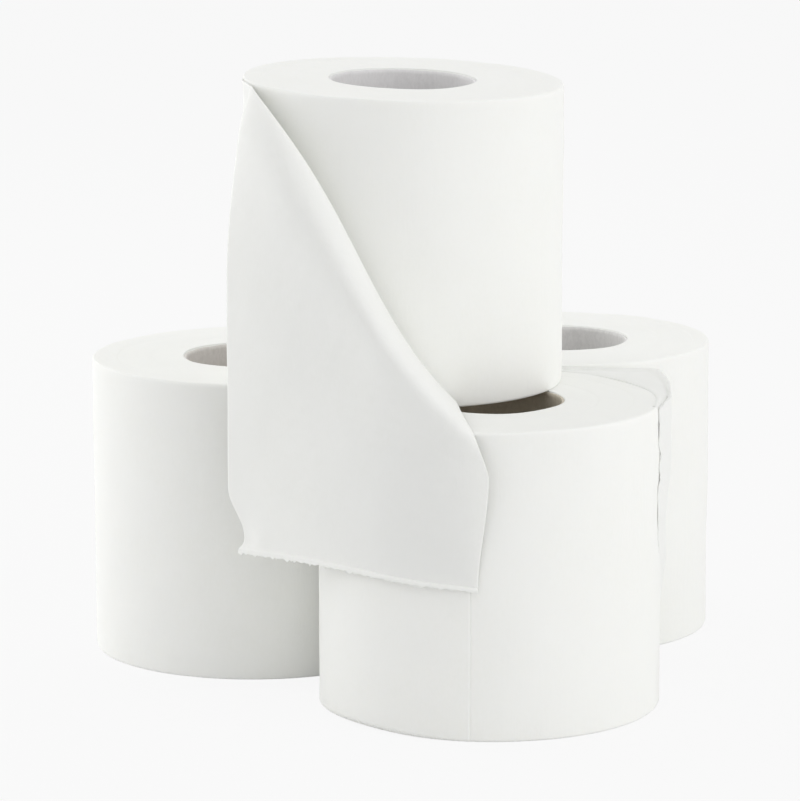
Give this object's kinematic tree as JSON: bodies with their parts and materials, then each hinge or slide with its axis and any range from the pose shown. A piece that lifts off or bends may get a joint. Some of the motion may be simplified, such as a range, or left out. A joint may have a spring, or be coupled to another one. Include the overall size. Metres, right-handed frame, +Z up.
{
  "type": "toilet paper roll pack",
  "caption": "Stack of white toilet paper rolls on end, one on top of the others, its loose sheet folded over and hanging down in front.",
  "frame": {"origin": "on the ground, on the axis of the front roll's core", "axes": "+Z up along the rolls' axes, -Y towards the viewer and the hanging sheet, +X to the right"},
  "size_m": [0.205, 0.2172, 0.1954],
  "materials": {
    "tissue_paper": "matt white embossed tissue",
    "core_cardboard": "matt grey board"
  },
  "bodies": {
    "root": {"front_roll_paper": "tissue_paper", "front_roll_core": "core_cardboard", "left_roll_paper": "tissue_paper", "left_roll_core": "core_cardboard", "back_roll_paper": "tissue_paper", "back_roll_core": "core_cardboard", "top_roll_paper": "tissue_paper", "top_roll_core": "core_cardboard"}
  },
  "joints": []
}
